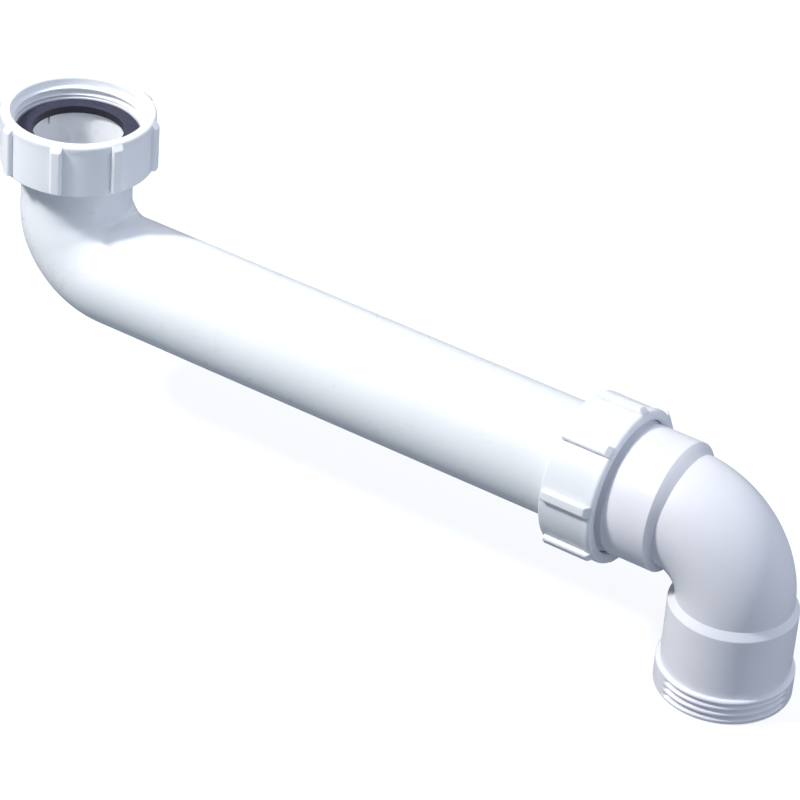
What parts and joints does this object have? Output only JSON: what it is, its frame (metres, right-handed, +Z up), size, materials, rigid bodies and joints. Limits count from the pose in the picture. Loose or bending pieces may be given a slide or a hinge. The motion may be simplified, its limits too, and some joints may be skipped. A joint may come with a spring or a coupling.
{
  "type": "space-saving waste bend",
  "caption": "White plastic space-saving waste bend: captive inlet nut with a black washer, long bend pipe and a swivelling outlet elbow with a male thread.",
  "frame": {"origin": "centre of the inlet nut's open mouth", "axes": "+Z up out of the inlet, +X along the arm towards the outlet elbow, outlet pointing -Z"},
  "size_m": [0.3303, 0.0584, 0.1188],
  "materials": {
    "white_plastic": "satin moulded",
    "black_rubber": "matte"
  },
  "bodies": {
    "pipe": {"pipe": "white_plastic", "inlet_washer": "black_rubber"},
    "inlet_nut": {"inlet_nut": "white_plastic"},
    "outlet_seal": {"outlet_seal": "black_rubber"},
    "elbow": {"elbow": "white_plastic"},
    "slip_ring": {"slip_ring": "white_plastic"},
    "outlet_nut": {"outlet_nut": "white_plastic"}
  },
  "joints": [
    {"name": "inlet_nut_spin", "type": "hinge", "parent": "pipe", "child": "inlet_nut", "pos_m": [0, 0, -0.01], "axis": [0, 0, 1], "continuous": true},
    {"name": "telescope", "type": "slide", "parent": "pipe", "child": "outlet_seal", "axis": [1, 0, 0], "range_m": [-0.004, 0.016]},
    {"name": "elbow_swivel", "type": "hinge", "parent": "outlet_seal", "child": "elbow", "pos_m": [0.24, 0, -0.0578], "axis": [1, 0, 0], "continuous": true},
    {"name": "ring_travel", "type": "slide", "parent": "elbow", "child": "slip_ring", "axis": [-1, 0, 0], "range_m": [0, 0.0078]},
    {"name": "outlet_nut_turn", "type": "hinge", "parent": "slip_ring", "child": "outlet_nut", "pos_m": [0.226, 0, -0.0578], "axis": [-1, 0, 0], "range_deg": [0, 1080]}
  ],
  "couplings": [
    {"joint": "ring_travel", "follows": "outlet_nut_turn", "m_per_rad": 0.0004138}
  ]
}
